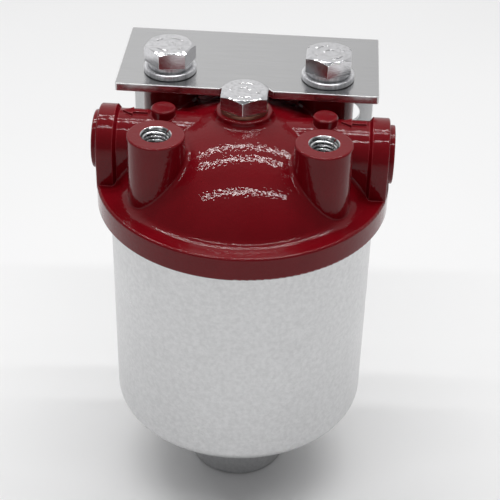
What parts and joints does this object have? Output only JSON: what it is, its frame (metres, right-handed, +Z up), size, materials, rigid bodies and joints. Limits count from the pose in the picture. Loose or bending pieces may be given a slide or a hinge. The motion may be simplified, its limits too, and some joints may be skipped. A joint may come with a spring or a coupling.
{
  "type": "magnetic system filter",
  "caption": "Bowl filter for heating water: domed painted cast head with side ports, plain cylindrical metal bowl held up by a centre bolt, and an angle bracket for the wall.",
  "frame": {"origin": "centre of the foot's underside, on the filter's axis", "axes": "+Z up the filter's axis, +X towards the inlet port, +Y towards the wall"},
  "size_m": [0.112, 0.1144, 0.1819],
  "materials": {
    "crimson_paint": "glossy enamel over a cast surface",
    "bowl_metal": "satin turned",
    "bracket_steel": "fine brushed stainless",
    "zinc_steel": "bright zinc plate",
    "washer_steel": "zinc plate",
    "copper": "dull copper",
    "black_rubber": "matt",
    "pressed_steel": "pressed stainless",
    "screen_steel": "perforated stainless",
    "magnet_cap": "moulded",
    "magnet": "dark sintered",
    "pole_steel": "ground",
    "spring_steel": "drawn wire",
    "brass_plug": "turned"
  },
  "bodies": {
    "bowl_body": {"bowl": "bowl_metal", "bowl_gasket": "black_rubber", "spring_seat": "pressed_steel", "element_spring": "spring_steel", "drain_plug_seal": "black_rubber"},
    "head_body": {"filter_head": "crimson_paint", "bracket": "bracket_steel", "bracket_bolt_left": "zinc_steel", "bracket_bolt_right": "zinc_steel", "spring_washer_left": "washer_steel", "spring_washer_right": "washer_steel", "flat_washer_left": "washer_steel", "flat_washer_right": "washer_steel"},
    "washer_body": {"centre_bolt_washer": "copper"},
    "bolt_body": {"centre_bolt": "zinc_steel"},
    "element_body": {"element_top_cap": "pressed_steel", "element_bottom_cap": "pressed_steel", "strainer_screen": "screen_steel", "element_top_seal": "black_rubber", "element_bottom_seal": "black_rubber", "magnet_core_tube": "pressed_steel", "magnet_cap_bottom": "magnet_cap", "magnet_cap_top": "magnet_cap", "magnet_sheath": "screen_steel", "ring_magnets": "magnet", "pole_plates": "pole_steel"},
    "drain_plug_body": {"drain_plug": "brass_plug"}
  },
  "joints": [
    {"name": "head_lift", "type": "slide", "parent": "bowl_body", "child": "head_body", "axis": [0, 0, 1], "range_m": [0, 0.24]},
    {"name": "element_lift", "type": "slide", "parent": "bowl_body", "child": "element_body", "axis": [0, 0, 1], "range_m": [0, 0.12]},
    {"name": "centre_bolt_rise", "type": "slide", "parent": "head_body", "child": "washer_body", "axis": [0, 0, 1], "range_m": [0, 0.0165]},
    {"name": "centre_bolt_turn", "type": "hinge", "parent": "washer_body", "child": "bolt_body", "pos_m": [0, 0, 0.1695], "axis": [0, 0, 1], "range_deg": [0, 3961]},
    {"name": "drain_plug_turn", "type": "hinge", "parent": "bowl_body", "child": "drain_plug_body", "pos_m": [0, 0, 0.0008], "axis": [0, 0, 1], "continuous": true}
  ],
  "couplings": [
    {"joint": "element_lift", "follows": "head_lift", "ratio": 0.5},
    {"joint": "centre_bolt_turn", "follows": "centre_bolt_rise", "rad_per_m": 4188.8}
  ]
}
